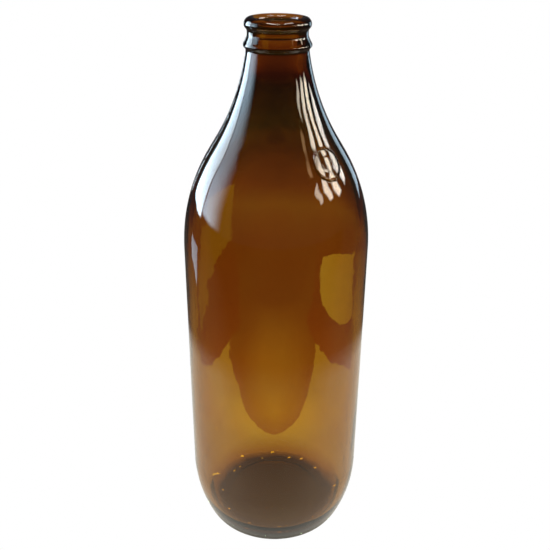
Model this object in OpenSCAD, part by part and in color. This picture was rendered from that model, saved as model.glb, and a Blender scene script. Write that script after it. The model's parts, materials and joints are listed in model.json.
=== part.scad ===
// Returnable amber beer bottle of about 750 ml with a 26 mm crown finish.
// The origin is the centre of the ring it stands on, and +Z runs up to the mouth.

/* [Body] */
// Height from the standing ring to the lip
bottle_h = 241.5; // [236:0.5:260]
// Outer diameter of the straight body
body_d = 81; // [79:0.5:86]
// Thickness of the body and shoulder wall
wall_t = 3.2; // [2.6:0.1:3.6]

/* [Shoulder] */
// Radius of the convex shoulder arc, seen from the side
shoulder_r = 81; // [74:1:86]
// Steepest lean of the shoulder from upright, in degrees
shoulder_lean = 31.6; // [30:0.2:33]
// Radius of the hollow curve that runs up into the neck
neck_sweep_r = 92.5; // [86:0.5:98]
// Lean of the neck where it meets the finish, in degrees
neck_lean = 8; // [6:0.5:10]

/* [Heel and base] */
// Radius of the long upper heel curve
heel_upper_r = 62; // [54:1:70]
// Radius of the tight lower heel curve
heel_lower_r = 6.5; // [5:0.5:9]
// Outer diameter of the ring that the bottle stands on
standing_d = 57; // [54:0.5:60]
// Width of the standing ring
standing_w = 2.5; // [1.5:0.1:4]
// Rise of the outer base above the standing ring
push_up_h = 4.5; // [3:0.1:7]
// Thickness of the base at its centre
base_t = 4.5; // [3.5:0.1:6]
// Radius of the inside corner between floor and wall
inner_corner_r = 12; // [8:0.5:14]

/* [Finish] */
// Diameter of the locking bead that the crown grips
bead_d = 26.6; // [26.4:0.1:26.8]
// Depth below the lip of the widest part of the bead
bead_depth = 2.6; // [2.4:0.1:3.2]
// Diameter of the waist between bead and collar
waist_d = 24.2; // [23.8:0.1:24.6]
// Diameter of the collar under the waist
collar_d = 27.4; // [27:0.1:27.8]
// Diameter of the neck just under the collar
neck_d = 25.1; // [24.6:0.1:25.6]
// Height from the lip to the underside of the collar
finish_h = 12.1; // [11.8:0.1:12.8]
// Diameter of the bore through the mouth
bore_d = 17; // [16:0.1:17.4]
// Length of the straight bore, with its rounded edge
bore_l = 18.5; // [16:0.5:21]
// Radius of the rounded edge at the mouth
mouth_edge_r = 1.6; // [1:0.1:1.8]

/* [Shoulder mark] */
// Diameter of the raised ring on the shoulder
mark_d = 14; // [12:0.5:16]
// Width of the raised line of the ring
mark_line_w = 0.9; // [0.7:0.1:1.2]
// Height of the mark above the glass
mark_proud = 0.35; // [0.3:0.05:0.6]
// Turn of the mark from the front towards +X, in degrees
mark_turn = 45; // [0:1:90]

/* [Hidden] */
$fn = 128;
arc_step = 4;
glass_colour = [0.42, 0.2, 0.04];

body_r = body_d / 2;
standing_r = standing_d / 2;
bore_r = bore_d / 2;
neck_r = neck_d / 2;
bead_r = bead_d / 2;
waist_r = waist_d / 2;
collar_r = collar_d / 2;

// Heel: two arcs that meet on one normal, the lower one ending flat on the standing ring.
heel_angle = acos((standing_r + heel_upper_r - body_r) / (heel_upper_r - heel_lower_r));
heel_h = heel_lower_r + (heel_upper_r - heel_lower_r) * sin(heel_angle);
heel_upper_centre = [body_r - heel_upper_r, heel_h];
heel_lower_centre = [standing_r, heel_lower_r];

// Neck sweep, then a straight lean, then the shoulder arc down to the upright body.
neck_base_z = bottle_h - finish_h;
sweep_centre = [neck_r + neck_sweep_r * cos(neck_lean), neck_base_z + neck_sweep_r * sin(neck_lean)];
sweep_end = sweep_centre - neck_sweep_r * [cos(shoulder_lean), sin(shoulder_lean)];
shoulder_end_r = body_r - shoulder_r * (1 - cos(shoulder_lean));
shoulder_end_z = sweep_end[1] - (shoulder_end_r - sweep_end[0]) / tan(shoulder_lean);
shoulder_centre = [body_r - shoulder_r, shoulder_end_z - shoulder_r * sin(shoulder_lean)];

// Inside of the shoulder, tangent to the straight bore.
inner_end = shoulder_centre + (shoulder_r - wall_t) * [cos(shoulder_lean), sin(shoulder_lean)];
inner_corner_z = inner_end[1] + (inner_end[0] - bore_r) / tan(shoulder_lean);
bore_end_z = bottle_h - bore_l;
inner_sweep_r = (bore_end_z - inner_corner_z) / tan(shoulder_lean / 2);
inner_sweep_centre = [bore_r + inner_sweep_r, bore_end_z];

// Inside floor: a shallow dome that runs out into the corner.
floor_top_z = push_up_h + base_t;
floor_edge_z = base_t + 1;
inner_heel_r = heel_upper_r - wall_t;
inner_corner_centre_z = floor_edge_z + inner_corner_r;
inner_heel_angle = asin((heel_h - inner_corner_centre_z) / (inner_heel_r - inner_corner_r));
inner_corner_centre = heel_upper_centre
    + (inner_heel_r - inner_corner_r) * [cos(inner_heel_angle), -sin(inner_heel_angle)];

// Points along an arc from one angle to another, about every arc_step degrees.
function arc(centre, r, from, to) =
    let (steps = max(2, ceil(abs(to - from) / arc_step)))
    [for (i = [0:steps])
        let (a = from + (to - from) * i / steps)
        centre + r * [cos(a), sin(a)]];

// A dome from the axis at height top_z down to radius r at height edge_z, from centre to edge.
function dome(r, top_z, edge_z) =
    let (rise = top_z - edge_z)
    let (dome_r = (r * r + rise * rise) / (2 * rise))
    arc([0, top_z - dome_r], dome_r, 90, 90 - asin(r / dome_r));

function reversed(list) = [for (i = [len(list) - 1:-1:0]) list[i]];

// The outer side from body to finish, moved outwards by grow.
function shoulder_line(grow) = concat(
    arc(shoulder_centre, shoulder_r + grow, 0, shoulder_lean),
    arc(sweep_centre, neck_sweep_r - grow, 180 + shoulder_lean, 180 + neck_lean));

// Collar with a sloped top, waist, round bead and rounded lip, from the neck up to the mouth.
function finish_line() =
    let (
        edge_r = 0.7,
        collar_mid_z = neck_base_z + 1.7,
        waist_low_z = neck_base_z + 4.9,
        bead_low_r = 2,
        bead_z = bottle_h - bead_depth,
        lip_w = 0.2,
        bead_top_r = min(bead_depth, bead_r - bore_r - mouth_edge_r - lip_w))
    concat(
        arc([collar_r - edge_r, collar_mid_z - 0.1], edge_r, -60, 0),
        arc([collar_r - edge_r, collar_mid_z + 0.2], edge_r, 0, 60),
        [[waist_r, waist_low_z]],
        arc([bead_r - bead_low_r, bead_z], bead_low_r, -65, 0),
        arc([bead_r - bead_top_r, bottle_h - bead_top_r], bead_top_r, 4, 90));

function mouth_line() =
    arc([bore_r + mouth_edge_r, bottle_h - mouth_edge_r], mouth_edge_r, 90, 180);

function outer_line() = concat(
    dome(standing_r - standing_w, push_up_h, 0),
    arc(heel_lower_centre, heel_lower_r, -90, -heel_angle),
    arc(heel_upper_centre, heel_upper_r, -heel_angle, 0),
    shoulder_line(0),
    finish_line());

function inner_line() = concat(
    mouth_line(),
    arc(inner_sweep_centre, inner_sweep_r, 180, 180 + shoulder_lean),
    arc(shoulder_centre, shoulder_r - wall_t, shoulder_lean, 0),
    arc(heel_upper_centre, inner_heel_r, 0, -inner_heel_angle),
    arc(inner_corner_centre, inner_corner_r, -inner_heel_angle, -90),
    reversed(dome(inner_corner_centre[0], floor_top_z, floor_edge_z)));

// A skin over the shoulder that the raised mark is cut from.
module shoulder_skin(grow) {
    rotate_extrude()
        polygon(concat(shoulder_line(grow), reversed(shoulder_line(-wall_t / 2))));
}

// A straight column through the shoulder, square to the glass at the mark.
module mark_column(r, inner_r) {
    mark_centre = shoulder_centre + shoulder_r * [cos(shoulder_lean), sin(shoulder_lean)];
    rotate([0, 0, mark_turn - 90])
        translate([mark_centre[0], 0, mark_centre[1]])
            rotate([0, 90 - shoulder_lean, 0])
                translate([0, 0, -wall_t])
                    difference() {
                        cylinder(r = r, h = 2 * wall_t);
                        if (inner_r > 0)
                            translate([0, 0, -1])
                                cylinder(r = inner_r, h = 2 * wall_t + 2);
                    }
}

// The raised ring with a low blank button inside it.
module shoulder_mark() {
    intersection() {
        shoulder_skin(mark_proud);
        mark_column(mark_d / 2, mark_d / 2 - mark_line_w);
    }
    intersection() {
        shoulder_skin(mark_proud / 2);
        mark_column(mark_d / 4, 0);
    }
}

// One blown piece of glass: base, body, shoulder, neck and crown finish.
module bottle() {
    color(glass_colour)
        union() {
            rotate_extrude()
                polygon(concat(outer_line(), inner_line()));
            shoulder_mark();
        }
}

bottle();
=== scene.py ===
"""An open amber beer bottle with a crown finish, on a plain pale floor."""

import json
import math
import bpy
from mathutils import Matrix, Vector, noise


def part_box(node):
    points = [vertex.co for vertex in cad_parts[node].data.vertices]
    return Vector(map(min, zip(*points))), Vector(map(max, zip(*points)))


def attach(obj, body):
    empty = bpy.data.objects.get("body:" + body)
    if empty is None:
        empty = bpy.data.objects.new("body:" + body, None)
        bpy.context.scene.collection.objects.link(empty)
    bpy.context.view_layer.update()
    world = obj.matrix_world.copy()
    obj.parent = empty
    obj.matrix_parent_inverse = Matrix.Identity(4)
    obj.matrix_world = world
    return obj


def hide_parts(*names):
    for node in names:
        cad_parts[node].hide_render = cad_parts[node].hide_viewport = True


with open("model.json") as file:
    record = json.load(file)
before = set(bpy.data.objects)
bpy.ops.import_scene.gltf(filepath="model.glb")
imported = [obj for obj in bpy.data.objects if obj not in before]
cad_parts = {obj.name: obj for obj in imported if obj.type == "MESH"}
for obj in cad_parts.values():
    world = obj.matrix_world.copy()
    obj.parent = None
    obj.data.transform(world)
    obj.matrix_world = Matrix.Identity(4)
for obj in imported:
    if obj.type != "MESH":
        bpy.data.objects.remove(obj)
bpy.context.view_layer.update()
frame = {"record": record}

MM = 0.001
QUARTER = math.pi / 2

# ---------------------------------------------------------------- the bottle's driving sizes, in metres
# The outline takes its sizes from the frame where the frame has them, and otherwise repeats part.scad's.

MOUNTS = {mount["name"]: mount for mount in frame["record"]["mounts"]}
LOW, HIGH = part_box("bottle")

HEIGHT = HIGH.z - LOW.z
BODY_R = (HIGH.x - LOW.x) / 2
BORE_R = MOUNTS["mouth"]["dims"]["r_mm"] * MM
BEAD_R = MOUNTS["crown_finish"]["dims"]["r_mm"] * MM

WALL = 3.2 * MM
SHOULDER_R = 81 * MM
SHOULDER_LEAN = math.radians(31.6)
NECK_SWEEP_R = 92.5 * MM
NECK_LEAN = math.radians(8)
NECK_R = 12.55 * MM
HEEL_UPPER_R = 62 * MM
HEEL_LOWER_R = 6.5 * MM
STANDING_R = 28.5 * MM
STANDING_W = 2.5 * MM
PUSH_UP = 4.5 * MM
BASE_T = 4.5 * MM
INNER_CORNER_R = 12 * MM
BEAD_DEPTH = 2.6 * MM
BEAD_LOW_R = 2 * MM
WAIST_R = 12.1 * MM
COLLAR_R = 13.7 * MM
FINISH_H = 12.1 * MM
BORE_L = 18.5 * MM
MOUTH_EDGE_R = 1.6 * MM

MARK_R = 7 * MM
MARK_LINE_W = 0.9 * MM
MARK_PROUD = 0.35 * MM
MARK_TURN = math.radians(45)
MARK_REACH = MARK_R + 1 * MM
SEAM_TURNS = (math.radians(-80), math.radians(100))
SEAM_W = 0.5 * MM
SEAM_PROUD = 0.08 * MM
STIPPLE_COUNT = 60
STIPPLE_H = 0.25 * MM
STIPPLE_TOP = 1 * MM
OUTER_WAVE_H = 0.06 * MM
INNER_WAVE_H = 0.35 * MM
INNER_RIPPLE_H = 0.06 * MM

LINE_STEP = 0.1 * MM
FINE_GAP = 0.2 * MM
EDGE_GAP = 0.4 * MM
OUTER_GAP = 1.5 * MM
LIP_GAP = 0.5 * MM
INNER_GAP = 2 * MM
COLUMN_COUNT = 240
MARK_COLUMNS = 90
SEAM_COLUMNS = 10


# ---------------------------------------------------------------- outline of the glass

def arc(centre, radius, start, end):
    """Points (r, z) along an arc, angles in radians from the +r direction."""
    steps = max(8, math.ceil(abs(end - start) * radius / LINE_STEP))
    angles = [start + (end - start) * i / steps for i in range(steps + 1)]
    return [(centre[0] + radius * math.cos(a), centre[1] + radius * math.sin(a)) for a in angles]


def dome(radius, top_z, edge_z):
    """A shallow dome from the axis out to radius."""
    rise = top_z - edge_z
    dome_r = (radius * radius + rise * rise) / (2 * rise)
    return arc((0, top_z - dome_r), dome_r, QUARTER, QUARTER - math.asin(radius / dome_r))


def along(centre, radius, angle):
    """The point (r, z) that lies radius away from centre in the direction of angle."""
    return (centre[0] + radius * math.cos(angle), centre[1] + radius * math.sin(angle))


heel_angle = math.acos((STANDING_R + HEEL_UPPER_R - BODY_R) / (HEEL_UPPER_R - HEEL_LOWER_R))
heel_h = HEEL_LOWER_R + (HEEL_UPPER_R - HEEL_LOWER_R) * math.sin(heel_angle)
heel_centre = (BODY_R - HEEL_UPPER_R, heel_h)

neck_base = (NECK_R, HEIGHT - FINISH_H)
sweep_centre = along(neck_base, NECK_SWEEP_R, NECK_LEAN)
sweep_end = along(sweep_centre, -NECK_SWEEP_R, SHOULDER_LEAN)
shoulder_end_r = BODY_R - SHOULDER_R * (1 - math.cos(SHOULDER_LEAN))
shoulder_end_z = sweep_end[1] - (shoulder_end_r - sweep_end[0]) / math.tan(SHOULDER_LEAN)
shoulder_centre = (BODY_R - SHOULDER_R, shoulder_end_z - SHOULDER_R * math.sin(SHOULDER_LEAN))
mark_centre = along(shoulder_centre, SHOULDER_R, SHOULDER_LEAN)


def finish_line():
    """Collar, waist, bead and lip, from the neck up to the flat of the lip."""
    edge_r = 0.7 * MM
    collar_z = neck_base[1] + 1.7 * MM
    bead_z = HEIGHT - BEAD_DEPTH
    fillet_r = 0.9 * MM
    waist_z = neck_base[1] + 4.9 * MM
    return (
        arc((COLLAR_R - edge_r, collar_z - 0.1 * MM), edge_r, math.radians(-60), 0)
        + arc((COLLAR_R - edge_r, collar_z + 0.2 * MM), edge_r, 0, math.radians(60))
        + arc((WAIST_R + fillet_r, waist_z + 0.4 * MM), fillet_r, math.radians(210), math.pi)
        + arc((BEAD_R - BEAD_LOW_R, bead_z), BEAD_LOW_R, math.radians(-65), 0)
        + arc((BEAD_R - BEAD_DEPTH, bead_z), BEAD_DEPTH, math.radians(4), QUARTER)
    )


def outer_line():
    """The outside, from the middle of the pushed-up base up to the lip."""
    lean_turned = math.pi + SHOULDER_LEAN
    return (
        dome(STANDING_R - STANDING_W, PUSH_UP, 0)
        + arc((STANDING_R, HEEL_LOWER_R), HEEL_LOWER_R, -QUARTER, -heel_angle)
        + arc(heel_centre, HEEL_UPPER_R, -heel_angle, 0)
        + arc(shoulder_centre, SHOULDER_R, 0, SHOULDER_LEAN)
        + arc(sweep_centre, NECK_SWEEP_R, lean_turned, math.pi + NECK_LEAN)
        + finish_line()
    )


def inner_line():
    """The inside, from the lip down to the middle of the floor."""
    inner_end = along(shoulder_centre, SHOULDER_R - WALL, SHOULDER_LEAN)
    corner_z = inner_end[1] + (inner_end[0] - BORE_R) / math.tan(SHOULDER_LEAN)
    bore_end = HEIGHT - BORE_L
    sweep_r = (bore_end - corner_z) / math.tan(SHOULDER_LEAN / 2)
    floor_edge = BASE_T + 1 * MM
    heel_r = HEEL_UPPER_R - WALL
    angle = math.asin((heel_h - floor_edge - INNER_CORNER_R) / (heel_r - INNER_CORNER_R))
    corner = along(heel_centre, heel_r - INNER_CORNER_R, -angle)
    return (
        arc((BORE_R + MOUTH_EDGE_R, HEIGHT - MOUTH_EDGE_R), MOUTH_EDGE_R, QUARTER, math.pi)
        + arc((BORE_R + sweep_r, bore_end), sweep_r, math.pi, math.pi + SHOULDER_LEAN)
        + arc(shoulder_centre, SHOULDER_R - WALL, SHOULDER_LEAN, 0)
        + arc(heel_centre, heel_r, 0, -angle)
        + arc(corner, INNER_CORNER_R, -angle, -QUARTER)
        + dome(corner[0], PUSH_UP + BASE_T, floor_edge)[::-1]
    )


def smoothed(points, reach):
    """The line walked in even fine steps and averaged over reach, so that no crease is left in it."""
    even = [Vector(points[0])]
    for a, b in zip(points, points[1:]):
        a, b = Vector(a), Vector(b)
        pieces = max(1, round((b - a).length / LINE_STEP))
        even += [a.lerp(b, (i + 1) / pieces) for i in range(pieces)]
    half = round(reach / LINE_STEP / 2)
    out = []
    for i in range(len(even)):
        near = min(half, i, len(even) - 1 - i)
        nearby = even[i - near:i + near + 1]
        out.append(sum(nearby, Vector((0, 0))) / len(nearby))
    return out


def thinned(line, spacing_at):
    """Keeps points of a fine line so that they lie about spacing_at(point) apart, with the two ends."""
    kept = [line[0]]
    for point in line[1:-1]:
        if (point - kept[-1]).length >= spacing_at(point):
            kept.append(point)
    return kept + [line[-1]]


def near_mark(point):
    return (point - Vector(mark_centre)).length < MARK_REACH


def outer_spacing(point):
    """Gap between rows of the outside mesh: fine at the mark, the finish and the standing ring."""
    if near_mark(point):
        return FINE_GAP
    if point.y > HEIGHT - FINISH_H - 1 * MM or point.y < 1.5 * MM:
        return EDGE_GAP
    return OUTER_GAP


def inner_spacing(point):
    """Gap between rows of the inside mesh: fine at the lip."""
    return LIP_GAP if point.y > HEIGHT - 3 * MM else INNER_GAP


def columns():
    """Turns of the mesh's columns: even ones, and fine ones across the mark and the mould seams."""
    even = [2 * math.pi * i / COLUMN_COUNT - math.pi for i in range(COLUMN_COUNT)]
    mark_half = MARK_REACH / mark_centre[0]
    mark_gap = 2 * mark_half / MARK_COLUMNS
    fine = [MARK_TURN - mark_half + mark_gap * i for i in range(MARK_COLUMNS + 1)]
    seam_gap = math.radians(0.2)
    seam_half = seam_gap * SEAM_COLUMNS / 2
    seams = [turn - seam_half + seam_gap * i for turn in SEAM_TURNS for i in range(SEAM_COLUMNS + 1)]
    clearance = 0.005
    clear = [
        turn for turn in even
        if abs(turn - MARK_TURN) > mark_half + clearance
        and all(abs(turn - seam) > seam_half + clearance for seam in SEAM_TURNS)
    ]
    return sorted(clear + fine + seams)


# ---------------------------------------------------------------- relief of the glass

def clamped(share):
    return min(1, max(0, share))


def bump(distance, half_width):
    """1 in the middle of a raised line, falling smoothly to 0 at half_width."""
    share = min(1, abs(distance) / half_width)
    return (1 + math.cos(math.pi * share)) / 2


def mark_relief(point, turn):
    """Height of the raised ring and of the plain button inside it."""
    across = (turn - MARK_TURN) * point.x
    up = (point - Vector(mark_centre)).length
    distance = math.hypot(across, up)
    ring = bump(distance - MARK_R + MARK_LINE_W / 2, MARK_LINE_W * 0.65)
    button = 0.3 * clamped((MARK_R * 0.5 - distance) / (0.6 * MM))
    return MARK_PROUD * max(ring, button)


def seam_relief(point, turn):
    """The faint line that the two halves of the mould leave up the body and neck."""
    nearest = min(abs(turn - t) for t in SEAM_TURNS)
    ends = clamped((point.y - 8 * MM) / (6 * MM))
    return SEAM_PROUD * ends * bump(nearest * point.x, SEAM_W)


def stipple_relief(point, turn):
    """Small bars round the standing ring, which carry the bottle: the ring is cut back between them."""
    middle = STANDING_R - STANDING_W / 2
    band = bump(point.x - middle, STANDING_W)
    wave = (1 + math.cos(turn * STIPPLE_COUNT)) / 2
    return -STIPPLE_H * band * (1 - wave)


def outer_relief(point, turn):
    """The outside of the glass: slow waves between heel and finish, then seams, mark and bars."""
    place = Vector((point.x * math.sin(turn), -point.x * math.cos(turn), point.y))
    slow = noise.noise(place * 30 + Vector((3, 1, 7))) * OUTER_WAVE_H
    low_end = clamped((point.y - 4 * MM) / (20 * MM))
    high_end = clamped((HEIGHT - 16 * MM - point.y) / (20 * MM))
    relief = slow * min(low_end, high_end) + seam_relief(point, turn)
    if near_mark(point):
        relief += mark_relief(point, turn)
    if point.y < STIPPLE_TOP:
        relief += stipple_relief(point, turn)
    return relief


def inner_relief(point, turn):
    """The uneven inside wall of blown glass: long waves that run mostly up and down."""
    place = Vector((point.x * math.sin(turn), -point.x * math.cos(turn), point.y * 0.35))
    waves = noise.noise(place * 45) * INNER_WAVE_H + noise.noise(place * 130) * INNER_RIPPLE_H
    low_end = clamped(point.y / (30 * MM))
    high_end = clamped((HEIGHT - 20 * MM - point.y) / (40 * MM))
    return waves * min(low_end, high_end)


def ring_points(line, relief, turns):
    """For each point of the line, its ring of vertices, moved along the surface by relief."""
    rings = []
    for i, point in enumerate(line):
        before, after = line[max(0, i - 1)], line[min(len(line) - 1, i + 1)]
        tangent = (after - before).normalized()
        normal = Vector((tangent.y, -tangent.x))
        ring = []
        for turn in turns:
            moved = point + normal * relief(point, turn)
            ring.append((moved.x * math.sin(turn), -moved.x * math.cos(turn), moved.y))
        rings.append(ring)
    return rings


def glass_mesh():
    """One closed wall of glass: the outside up to the lip, then the inside down to the floor."""
    turns = columns()
    outside = thinned(smoothed(outer_line(), 0.6 * MM), outer_spacing)
    inside = thinned(smoothed(inner_line(), 1.5 * MM), inner_spacing)
    rings = ring_points(outside[1:], outer_relief, turns) + ring_points(inside[:-1], inner_relief, turns)
    count = len(turns)
    vertices = [p for ring in rings for p in ring]
    vertices += [(0, 0, outside[0].y), (0, 0, inside[-1].y)]
    under, floor_top = len(vertices) - 2, len(vertices) - 1
    faces = []
    for row in range(len(rings) - 1):
        for i in range(count):
            a, b = row * count + i, row * count + (i + 1) % count
            faces.append((a, b, b + count, a + count))
    last = (len(rings) - 1) * count
    for i in range(count):
        j = (i + 1) % count
        faces.append((under, j, i))
        faces.append((floor_top, last + i, last + j))
    mesh = bpy.data.meshes.new("bottle_glass")
    mesh.from_pydata(vertices, [], faces)
    mesh.polygons.foreach_set("use_smooth", [True] * len(faces))
    mesh.update()
    return mesh


# ---------------------------------------------------------------- materials

GLASS_IOR = 1.52
AMBER = (0.81, 0.66, 0.1)
AMBER_DENSITY = 620

# The lit spot behind the bottle, and the strip in front of it where the floor turns dim.
LIT_SPOT_Y = 0.075
LIT_SPOT_SQUEEZE = 0.6
LIT_REACH = 1.3
FRONT_LIT_Y = -0.06
FRONT_DIM_Y = -0.15
FRONT_DIM = 0.2


def new_material(name):
    """A material with its nodes, its links and its Principled shader."""
    material = bpy.data.materials.new(name)
    material.use_nodes = True
    nodes = material.node_tree.nodes
    return material, nodes, material.node_tree.links, nodes["Principled BSDF"]


def amber_glass():
    """Clear amber glass, coloured through its depth, with a faint ripple, haze and handling wear."""
    material, nodes, links, shader = new_material("amber_glass")
    shader.inputs["Transmission Weight"].default_value = 1
    shader.inputs["IOR"].default_value = GLASS_IOR

    place = nodes.new("ShaderNodeTexCoord")
    haze = nodes.new("ShaderNodeTexNoise")
    haze.inputs["Scale"].default_value = 60
    haze.inputs["Detail"].default_value = 6
    links.new(place.outputs["Object"], haze.inputs["Vector"])

    tint = nodes.new("ShaderNodeValToRGB")
    tint.color_ramp.elements[0].position = 0.35
    tint.color_ramp.elements[0].color = (1, 0.93, 0.82, 1)
    tint.color_ramp.elements[1].position = 0.65
    tint.color_ramp.elements[1].color = (1, 0.97, 0.9, 1)
    links.new(haze.outputs["Fac"], tint.inputs["Fac"])
    links.new(tint.outputs["Color"], shader.inputs["Base Color"])

    rough = nodes.new("ShaderNodeMapRange")
    rough.inputs["From Min"].default_value = 0.4
    rough.inputs["From Max"].default_value = 0.75
    rough.inputs["To Min"].default_value = 0.0
    rough.inputs["To Max"].default_value = 0.05
    links.new(haze.outputs["Fac"], rough.inputs["Value"])
    links.new(rough.outputs["Result"], shader.inputs["Roughness"])

    ripple = nodes.new("ShaderNodeTexNoise")
    ripple.inputs["Scale"].default_value = 110
    ripple.inputs["Detail"].default_value = 2
    links.new(place.outputs["Object"], ripple.inputs["Vector"])
    relief = nodes.new("ShaderNodeBump")
    relief.inputs["Strength"].default_value = 0.12
    relief.inputs["Distance"].default_value = 0.0004
    links.new(ripple.outputs["Fac"], relief.inputs["Height"])
    links.new(relief.outputs["Normal"], shader.inputs["Normal"])

    depth = nodes.new("ShaderNodeVolumeAbsorption")
    depth.inputs["Color"].default_value = (*AMBER, 1)
    depth.inputs["Density"].default_value = AMBER_DENSITY
    links.new(depth.outputs["Volume"], nodes["Material Output"].inputs["Volume"])
    return material


def floor_light(name, stops, spot_y, squeeze):
    """A pale floor lit behind the bottle and dim in front.

    stops are (distance from the lit spot, colour). squeeze below 1 widens the lit spot sideways."""
    material = bpy.data.materials.new(name)
    material.use_nodes = True
    nodes, links = material.node_tree.nodes, material.node_tree.links
    nodes.clear()
    place = nodes.new("ShaderNodeTexCoord")
    centred = nodes.new("ShaderNodeMapping")
    centred.inputs["Location"].default_value = (0, -spot_y / LIT_REACH, 0)
    centred.inputs["Scale"].default_value = (squeeze / LIT_REACH, 1 / LIT_REACH, 0)
    links.new(place.outputs["Object"], centred.inputs["Vector"])
    distance = nodes.new("ShaderNodeVectorMath")
    distance.operation = "LENGTH"
    links.new(centred.outputs["Vector"], distance.inputs[0])
    tone = nodes.new("ShaderNodeValToRGB")
    while len(tone.color_ramp.elements) < len(stops):
        tone.color_ramp.elements.new(0.5)
    for element, (reach, colour) in zip(tone.color_ramp.elements, stops):
        element.position = reach / LIT_REACH
        element.color = (*colour, 1)
    links.new(distance.outputs["Value"], tone.inputs["Fac"])

    split = nodes.new("ShaderNodeSeparateXYZ")
    links.new(place.outputs["Object"], split.inputs["Vector"])
    front = nodes.new("ShaderNodeMapRange")
    front.inputs["From Min"].default_value = FRONT_DIM_Y
    front.inputs["From Max"].default_value = FRONT_LIT_Y
    front.inputs["To Min"].default_value = FRONT_DIM
    front.inputs["To Max"].default_value = 1
    links.new(split.outputs["Y"], front.inputs["Value"])

    glow = nodes.new("ShaderNodeEmission")
    links.new(tone.outputs["Color"], glow.inputs["Color"])
    links.new(front.outputs["Result"], glow.inputs["Strength"])
    out = nodes.new("ShaderNodeOutputMaterial")
    links.new(glow.outputs["Emission"], out.inputs["Surface"])
    return material


def glowing(name, colour, strength):
    """A plain light of one colour and strength."""
    material = bpy.data.materials.new(name)
    material.use_nodes = True
    nodes = material.node_tree.nodes
    nodes.clear()
    glow = nodes.new("ShaderNodeEmission")
    glow.inputs["Color"].default_value = (*colour, 1)
    glow.inputs["Strength"].default_value = strength
    out = nodes.new("ShaderNodeOutputMaterial")
    material.node_tree.links.new(glow.outputs["Emission"], out.inputs["Surface"])
    return material


# ---------------------------------------------------------------- the bottle

bottle = bpy.data.objects.new("bottle_glass", glass_mesh())
bpy.context.scene.collection.objects.link(bottle)
bottle.data.materials.append(amber_glass())
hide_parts("bottle")
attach(bottle, "root")


# ---------------------------------------------------------------- floor and backdrop

DISC_SIDES = 96
NOSE_STEPS = 24
NOSE_ROUNDNESS = 0.62

def stage_mesh(name, vertices, faces, material):
    """A piece of the stage, which is no part of the bottle."""
    mesh = bpy.data.meshes.new(name)
    mesh.from_pydata(vertices, [], faces)
    mesh.materials.append(material)
    mesh.update()
    piece = bpy.data.objects.new(name, mesh)
    bpy.context.scene.collection.objects.link(piece)
    return piece


def disc(name, radius, height, material):
    """A flat round piece of the stage around the bottle's axis."""
    angles = [2 * math.pi * i / DISC_SIDES for i in range(DISC_SIDES)]
    rim = [(radius * math.cos(a), radius * math.sin(a), height) for a in angles]
    return stage_mesh(name, rim, [tuple(range(DISC_SIDES))], material)


def seen_only_by_camera(piece):
    """The white backdrop: it fills the picture, but gives no light and isn't seen through the glass."""
    piece.visible_diffuse = False
    piece.visible_glossy = False
    piece.visible_transmission = False
    piece.visible_volume_scatter = False
    piece.visible_shadow = False


def seen_only_in_glass(piece):
    piece.visible_camera = False
    piece.visible_shadow = False


def seen_only_through_glass(piece):
    seen_only_in_glass(piece)
    piece.visible_glossy = False


def seen_only_in_reflections(piece):
    seen_only_in_glass(piece)
    piece.visible_transmission = False


def lobe(name, tip, nose, half_width, far, far_half, height, material):
    """A patch on the floor behind the bottle, for the painted shadows and painted light seen through the
    glass: a round nose at tip, then two long sides running back.
    """
    left, right = [], []
    for i in range(NOSE_STEPS + 1):
        share = (i / NOSE_STEPS) ** 2
        half = half_width * (1 - (1 - share) ** 2) ** NOSE_ROUNDNESS
        left.append((tip[0] - half, tip[1] + nose * share, height))
        right.append((tip[0] + half, tip[1] + nose * share, height))
    far_edge = [(far[0] + far_half, far[1], height), (far[0] - far_half, far[1], height)]
    outline = right + far_edge + left[:0:-1]
    seen_only_through_glass(stage_mesh(name, outline, [tuple(range(len(outline)))], material))


def blend(first, second, share):
    """A colour partway from the first to the second."""
    return tuple(a + (b - a) * share for a, b in zip(first, second))


def mixed(first, second, share):
    """Stops partway from the first list to the second."""
    return [(reach, blend(dark, light, share)) for (reach, dark), (_, light) in zip(first, second)]


SKY = (0.6, 0.82, 1)
SUN = (1, 0.88, 0.7)
ROOM_COLOUR = (0.04, 0.042, 0.046)

# Heights of the stage's floors and patches, all just under the bottle. Where two overlap, the higher
# one is seen.
MIRRORED_Z = -0.9 * MM
TABLE_Z = -0.8 * MM
MIDDLE_Z = -0.6 * MM
SIDE_Z = -0.5 * MM
HIGH_LIGHT_PATCH_Z = -0.4 * MM
LIGHT_PATCH_Z = -0.3 * MM
CONTACT_Z = -0.3 * MM
CONTACT_TOP_Z = -0.1 * MM
SPECK_Z = -0.05 * MM
FAR_FLOOR_Z = -2 * MM

FLOOR_R = 2.2
SURROUND_R = 6

MIDDLE_TIP_Y = 0.0525
# Sizes of the painted caustic, a glow of light through the glass inside the middle painted shadow.
CAUSTIC_STEPS = 5
CAUSTIC_SHIFT = 0.02
CAUSTIC_HALF_WIDTHS = (0.034, 0.012)
RED_SHARE = (1, 0.78, 0.85)

CONTACT_STEPS = 5
CONTACT_R = 35 * MM
CONTACT_SHRINK = 4.5 * MM
CONTACT_COLOURS = ((0.6, 0.56, 0.46), (0.13, 0.115, 0.1))

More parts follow.
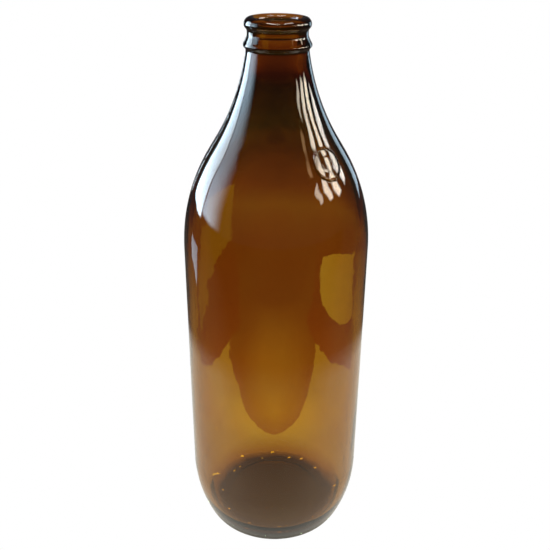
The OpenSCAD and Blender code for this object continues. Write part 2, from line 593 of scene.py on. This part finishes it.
# Light on the floor as (distance from the lit spot, colour), for the plain floor and for its patches.
FAR_STOPS = [
    (0.26, (0.34, 0.17, 0.14)), (0.31, (0.36, 0.2, 0.15)), (0.36, (0.38, 0.24, 0.17)),
    (0.43, (0.26, 0.12, 0.11)), (0.51, (0.17, 0.075, 0.08)), (0.6, (0.1, 0.042, 0.055)),
    (0.7, (0.085, 0.042, 0.05)), (0.84, (0.085, 0.055, 0.055)), (1.02, (0.045, 0.036, 0.038)),
    (1.3, (0.035, 0.036, 0.04)),
]
MIRRORED_STOPS = [
    (0, (0.84, 0.79, 0.68)), (0.175, (0.84, 0.79, 0.68)), (0.205, (0.13, 0.11, 0.09)),
    (0.6, (0.05, 0.045, 0.045)), (1.3, ROOM_COLOUR),
]
OPEN_STOPS = [
    (0, (1.1, 1.12, 0.9)), (0.015, (1.06, 1.06, 0.88)), (0.03, (0.84, 0.8, 0.74)),
    (0.06, (0.78, 0.72, 0.6)), (0.125, (0.68, 0.6, 0.45)), (0.18, (0.5, 0.38, 0.3)),
]
# Painted shadow on the floor behind the bottle, as (distance from the lit spot, colour).
PAINTED_SHADOW_STOPS = [
    (0, (0.82, 0.6, 0.4)), (0.045, (0.54, 0.3, 0.2)), (0.11, (0.38, 0.2, 0.16)),
    (0.15, (0.35, 0.185, 0.15)),
]
# Painted caustic: light through the amber glass, brightest in the middle of the middle shadow.
PAINTED_CAUSTIC_STOPS = [
    (0, (0.94, 0.8, 0.5)), (0.045, (0.64, 0.46, 0.28)), (0.11, (0.44, 0.27, 0.18)),
    (0.15, (0.34, 0.17, 0.14)),
]


def seen_through_glass(name, stops):
    """Floor light with its own near stops and the far stops that all of the floor shares."""
    return floor_light(name, stops + FAR_STOPS, LIT_SPOT_Y, LIT_SPOT_SQUEEZE)


table = disc("table", FLOOR_R, TABLE_Z, seen_through_glass("pale_floor", OPEN_STOPS))
seen_only_through_glass(table)
mirrored_light = floor_light("mirrored_floor", MIRRORED_STOPS, spot_y=0, squeeze=1)
seen_only_in_reflections(disc("mirrored_floor", FLOOR_R, MIRRORED_Z, mirrored_light))

# Painted shadows of the bottle on the floor behind it, seen only through the glass: a middle one and a
# redder one to each side.
shade = seen_through_glass("amber_painted_shadow", PAINTED_SHADOW_STOPS)
lobe(
    "middle_painted_shadow", tip=(0, MIDDLE_TIP_Y), nose=0.15, half_width=0.04,
    far=(0, 0.42), far_half=0.12, height=MIDDLE_Z, material=shade,
)
redder = [
    (reach, tuple(part * kept for part, kept in zip(colour, RED_SHARE)))
    for reach, colour in PAINTED_SHADOW_STOPS
]
side_painted_shadow = seen_through_glass("reddish_painted_shadow", redder)
lobe(
    "left_painted_shadow", tip=(-0.077, 0.119), nose=0.07, half_width=0.042,
    far=(-0.13, 0.42), far_half=0.06, height=SIDE_Z, material=side_painted_shadow,
)
lobe(
    "right_painted_shadow", tip=(0.066, 0.1225), nose=0.07, half_width=0.036,
    far=(0.13, 0.42), far_half=0.06, height=SIDE_Z, material=side_painted_shadow,
)
# The painted caustic in the middle shadow, as nested patches that narrow and brighten towards its
# middle.
for step in range(1, CAUSTIC_STEPS + 1):
    share = step / CAUSTIC_STEPS
    widest, narrowest = CAUSTIC_HALF_WIDTHS
    lobe(
        "middle_painted_caustic_%d" % step, tip=(0, MIDDLE_TIP_Y + CAUSTIC_SHIFT * share), nose=0.12,
        half_width=widest + (narrowest - widest) * share, far=(0, 0.3), far_half=0.034,
        height=MIDDLE_Z + (LIGHT_PATCH_Z - MIDDLE_Z) * share,
        material=seen_through_glass("amber_painted_caustic_%d" % step, mixed(PAINTED_SHADOW_STOPS, PAINTED_CAUSTIC_STOPS, share)),
    )
# Painted light: glowing patches on the floor behind the bottle, seen only through the glass.
lobe(
    "right_painted_light", tip=(0.077, 0.178), nose=0.06, half_width=0.03,
    far=(0.092, 0.3), far_half=0.034, height=LIGHT_PATCH_Z, material=glowing("pane", (0.74, 0.72, 0.6), 1),
)
lobe(
    "left_painted_light", tip=(-0.09, 0.165), nose=0.06, half_width=0.013,
    far=(-0.13, 0.38), far_half=0.02, height=LIGHT_PATCH_Z, material=glowing("faint", (0.5, 0.38, 0.26), 1),
)
lobe(
    "high_left_painted_light", tip=(-0.085, 0.255), nose=0.1, half_width=0.026,
    far=(-0.11, 0.5), far_half=0.04, height=HIGH_LIGHT_PATCH_Z,
    material=glowing("hazy", (0.46, 0.36, 0.22), 1),
)

# The painted contact shadow where the bottle stands, as discs that shrink and darken towards the top
# one.
for step in range(CONTACT_STEPS):
    share = step / (CONTACT_STEPS - 1)
    name = "contact_shade_%d" % step
    height = CONTACT_Z + (CONTACT_TOP_Z - CONTACT_Z) * share
    shadow = glowing(name, blend(*CONTACT_COLOURS, share), 1)
    seen_only_in_glass(disc(name, CONTACT_R - CONTACT_SHRINK * share, height, shadow))


def specks(name, count, radius, material):
    """Small painted glints round the standing ring, as if light got in under the bottle between its
    bars.

    They are scattered by sines of their number, so that they lie the same way every time."""
    corners = ((-1, -0.7), (1, -0.4), (0.8, 0.8), (-0.6, 0.6))
    vertices, faces = [], []
    for i in range(count):
        turn = 2.4 * i
        reach = radius * (1 + 0.12 * math.sin(5.1 * i))
        half = (0.7 + 0.45 * math.sin(3.7 * i)) * MM
        x, y = reach * math.cos(turn), reach * math.sin(turn)
        faces.append(tuple(range(len(vertices), len(vertices) + 4)))
        vertices += [(x + half * a, y + half * b, SPECK_Z) for a, b in corners]
    seen_only_in_glass(stage_mesh(name, vertices, faces, material))


specks("ring_painted_glints", count=26, radius=0.032, material=glowing("ring_painted_glint", (0.75, 1, 0.6), 3.5))

# Painted light: a glowing sky-blue patch on the floor, seen only in reflections.
low_left = [(-0.27, 0.1, 0), (-0.3, 0.18, 0), (-0.5, 0.3, 0), (-0.48, 0.14, 0)]
low_left_painted_light = stage_mesh("low_left_painted_light", low_left, [(0, 1, 2, 3)], glowing("low_left_painted_light", SKY, 2.2))
seen_only_in_reflections(low_left_painted_light)

white = glowing("white_surround", (1, 1, 1), 1.0)
far_floor = disc("far_floor", SURROUND_R, FAR_FLOOR_Z, white)
seen_only_by_camera(far_floor)
bpy.ops.mesh.primitive_uv_sphere_add(segments=48, ring_count=24, radius=SURROUND_R)
surround = bpy.context.object
surround.name = "surround"
surround.data.materials.append(white)
seen_only_by_camera(surround)


# ---------------------------------------------------------------- light

def direction(azimuth, elevation):
    """Azimuth 0 is towards the camera's side, -Y, and 90 towards +X. Angles in degrees."""
    a, e = math.radians(azimuth), math.radians(elevation)
    return Vector((math.sin(a) * math.cos(e), -math.cos(a) * math.cos(e), math.sin(e)))


LAMP_AIM_Z = 0.15
LAMP_SIZE = (0.5, 0.22)
WINDOW_AIM_Z = 0.18
PANE_ROWS = 24
PANE_COLUMNS = 6
FOLD_SOFT = (0.3, 0.12)


def softbox(name, azimuth, elevation, distance, size, colour, power):
    """An area light aimed at the bottle's axis."""
    data = bpy.data.lights.new(name, "AREA")
    data.shape = "RECTANGLE"
    data.size, data.size_y = size
    data.color = colour
    data.energy = power
    lamp = bpy.data.objects.new(name, data)
    aim = Vector((0, 0, LAMP_AIM_Z))
    back = direction(azimuth, elevation)
    lamp.location = aim + back * distance
    lamp.rotation_mode = "QUATERNION"
    lamp.rotation_quaternion = back.to_track_quat("Z", "Y")
    lamp.visible_camera = False
    lamp.visible_transmission = False
    bpy.context.scene.collection.objects.link(lamp)


def soft_glow(name, colour, strength, top_share, soft):
    """Light that fades out towards the pane's edges and from its bottom up to top_share of itself.

    soft is the part of the width and of the height that each edge takes to fade."""
    material = glowing(name, colour, strength)
    nodes, links = material.node_tree.nodes, material.node_tree.links
    place = nodes.new("ShaderNodeTexCoord")
    split = nodes.new("ShaderNodeSeparateXYZ")
    links.new(place.outputs["UV"], split.inputs["Vector"])

    rise = nodes.new("ShaderNodeMapRange")
    rise.inputs["To Min"].default_value = strength
    rise.inputs["To Max"].default_value = strength * top_share
    links.new(split.outputs["Y"], rise.inputs["Value"])
    level = rise.outputs["Result"]

    for axis, reach in zip("XY", soft):
        inwards = nodes.new("ShaderNodeMath")
        inwards.operation = "PINGPONG"
        inwards.inputs[1].default_value = 0.5
        links.new(split.outputs[axis], inwards.inputs[0])
        fade = nodes.new("ShaderNodeMapRange")
        fade.interpolation_type = "SMOOTHSTEP"
        fade.inputs["From Max"].default_value = reach
        links.new(inwards.outputs["Value"], fade.inputs["Value"])
        product = nodes.new("ShaderNodeMath")
        product.operation = "MULTIPLY"
        links.new(level, product.inputs[0])
        links.new(fade.outputs["Result"], product.inputs[1])
        level = product.outputs["Value"]
    links.new(level, nodes["Emission"].inputs["Strength"])
    return material


def window(
    name, azimuths, elevations, colour, strength,
    top_share=1, soft=(0.2, 0.06), wave=(0, 0, 0, 0), distance=1,
):
    """A glowing window pane between two azimuths and two elevations, distance metres from the bottle.

    wave is (sway, waves, phase, taper): a pane seen between curtain folds sways from side to side."""
    sway, waves, phase, taper = wave
    middle, half = sum(azimuths) / 2, (azimuths[1] - azimuths[0]) / 2
    vertices, places, faces = [], [], []
    for i in range(PANE_ROWS + 1):
        share = i / PANE_ROWS
        elevation = elevations[0] + (elevations[1] - elevations[0]) * share
        at = middle + sway * math.sin(2 * math.pi * waves * share + phase)
        width = half * (1 - taper * (1 - math.sin(math.pi * share)))
        height = WINDOW_AIM_Z + distance * math.tan(math.radians(elevation))
        for j in range(PANE_COLUMNS + 1):
            flat = direction(at + width * (2 * j / PANE_COLUMNS - 1), 0) * distance
            vertices.append((flat.x, flat.y, height))
            places.append((j / PANE_COLUMNS, share))
    for i in range(PANE_ROWS):
        for j in range(PANE_COLUMNS):
            low = i * (PANE_COLUMNS + 1) + j
            high = low + PANE_COLUMNS + 1
            faces.append((low, low + 1, high + 1, high))
    pane = stage_mesh(name, vertices, faces, soft_glow(name, colour, strength, top_share, soft))
    layer = pane.data.uv_layers.new(name="pane")
    for loop in pane.data.loops:
        layer.data[loop.index].uv = places[loop.vertex_index]
    seen_only_in_reflections(pane)


window("left_window", (-136, -105), (-7, 31), (0.7, 0.87, 1), 15, top_share=0.45, soft=(0.12, 0.04))
window(
    "left_curtain", (-122, -68), (-5, 34), SKY, 8,
    top_share=0.35, soft=(0.45, 0.08), distance=1.05,
)
window("back_right_window", (135, 152), (-10, 12), SKY, 2.2)
window("fold_1", (56, 67), (14, 27), SUN, 9, soft=FOLD_SOFT, wave=(2, 1.2, 0, 0.6))
window("fold_2", (71, 84), (11, 33), SUN, 15, soft=FOLD_SOFT, wave=(2, 1.4, 1, 0.3))
window("fold_3", (87, 101), (8, 29), SUN, 15, soft=FOLD_SOFT, wave=(2.5, 1.1, 2, 0.3))
window("fold_4", (104, 119), (7, 22), (1, 0.95, 0.88), 11, soft=FOLD_SOFT, wave=(2, 1, 0.5, 0.4))
window("warm_gap", (54, 64), (30, 39), (1, 0.6, 0.28), 4, soft=(0.4, 0.3))
softbox("overhead_left", -28, 64, 1, LAMP_SIZE, (1, 0.95, 0.85), power=4.5)
softbox("overhead_right", 60, 64, 1, LAMP_SIZE, (0.95, 0.97, 1), power=3)

world = bpy.data.worlds.new("room")
bpy.context.scene.world = world
world.use_nodes = True
room = world.node_tree.nodes["Background"]
room.inputs["Color"].default_value = (*ROOM_COLOUR, 1)
room.inputs["Strength"].default_value = 1


# ---------------------------------------------------------------- camera

CAMERA_X = -0.0004
CAMERA_BACK = 0.3017
CAMERA_Z = 0.279
CAMERA_PITCH = math.radians(26.29)
CAMERA_ROLL = math.radians(0.4)
camera_data = bpy.data.cameras.new("camera")
camera_data.lens = 48.57
camera_data.sensor_width = 36
camera = bpy.data.objects.new("camera", camera_data)
bpy.context.scene.collection.objects.link(camera)
camera.matrix_world = (
    Matrix.Translation((CAMERA_X, -CAMERA_BACK, CAMERA_Z))
    @ Matrix.Rotation(math.pi / 2 - CAMERA_PITCH, 4, "X")
    @ Matrix.Rotation(CAMERA_ROLL, 4, "Z")
)
bpy.context.scene.camera = camera

bpy.context.scene.view_settings.view_transform = "Standard"
